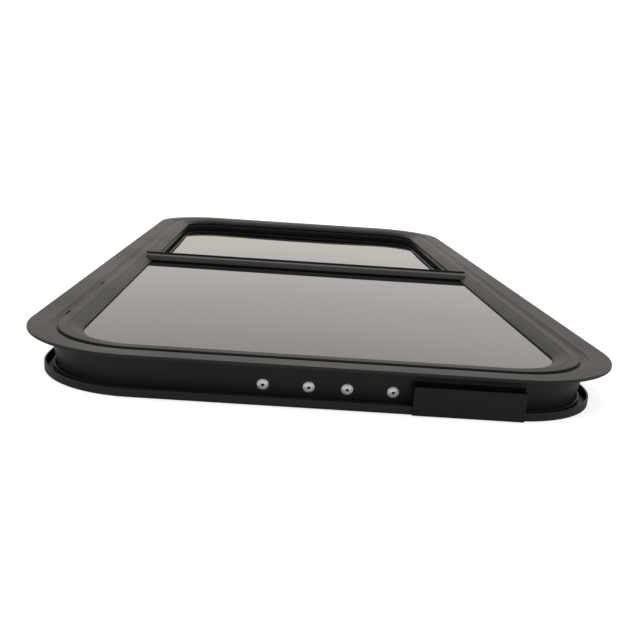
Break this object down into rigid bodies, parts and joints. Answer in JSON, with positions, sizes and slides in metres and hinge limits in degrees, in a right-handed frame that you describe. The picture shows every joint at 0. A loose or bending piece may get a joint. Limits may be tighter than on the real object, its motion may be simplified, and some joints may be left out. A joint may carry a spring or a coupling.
{
  "type": "half-slider window",
  "caption": "Radius-corner half-slider caravan window: fixed and sliding tinted panes in a black frame, with mullion, insect screen and clamp ring.",
  "frame": {"origin": "middle of the window, on the underside of the clamp ring", "axes": "+X across the window towards its head side, +Y along its length from the fixed pane to the sliding pane, +Z out through the wall, the way the outer flange faces"},
  "size_m": [0.413, 0.794, 0.0335],
  "materials": {
    "frame_coat": "satin black powder coat on extruded aluminium",
    "ring_coat": "satin black powder coat on extruded aluminium",
    "screen_coat": "black paint on roll-formed aluminium",
    "cover_sheet": "plain folded black sheet",
    "bare_aluminium": "mill finish",
    "rivet_metal": "bright drawn aluminium",
    "screw_steel": "zinc plated",
    "black_screws": "black painted steel",
    "bolt_metal": "satin",
    "tinted_glass": "dark tinted toughened glass, polished",
    "rubber": "dull black glazing rubber",
    "trim": "satin black extruded vinyl",
    "block_rubber": "hard packing rubber",
    "pile": "short black brush pile",
    "moulding": "fine grained black nylon",
    "mesh": "charcoal woven glass-fibre mesh"
  },
  "bodies": {
    "window_frame": {"outer_frame": "frame_coat", "frame_splice": "bare_aluminium", "splice_rivets": "rivet_metal", "fixed_glass": "tinted_glass", "fixed_glass_gasket": "rubber", "setting_blocks": "block_rubber", "glazing_infill": "trim", "mullion": "frame_coat", "mullion_glazing_strip": "rubber", "mullion_bulb_seal": "rubber", "mullion_pile": "pile", "mullion_screws": "screw_steel", "run_channel": "pile", "travel_stops": "moulding", "latch_keeper": "moulding", "keeper_screws": "screw_steel", "screen_frame": "screen_coat", "screen_near_rail": "screen_coat", "screen_corners": "moulding", "screen_mesh": "mesh", "screen_spline": "rubber", "screen_pull_tabs": "moulding", "clamp_ring": "ring_coat", "clamp_screws": "black_screws", "rim_cover": "cover_sheet"},
    "sash": {"sliding_glass": "tinted_glass", "sash_stile": "frame_coat", "stile_glazing": "rubber", "sash_glides": "moulding", "sash_pull": "moulding", "latch_housing": "moulding", "latch_screws": "screw_steel"},
    "latch": {"latch_bolt": "bolt_metal"}
  },
  "joints": [
    {"name": "sash_slide", "type": "slide", "parent": "window_frame", "child": "sash", "axis": [0, -1, 0], "range_m": [0, 0.295]},
    {"name": "latch_slide", "type": "slide", "parent": "sash", "child": "latch", "axis": [1, 0, 0], "range_m": [-0.006, 0]}
  ]
}
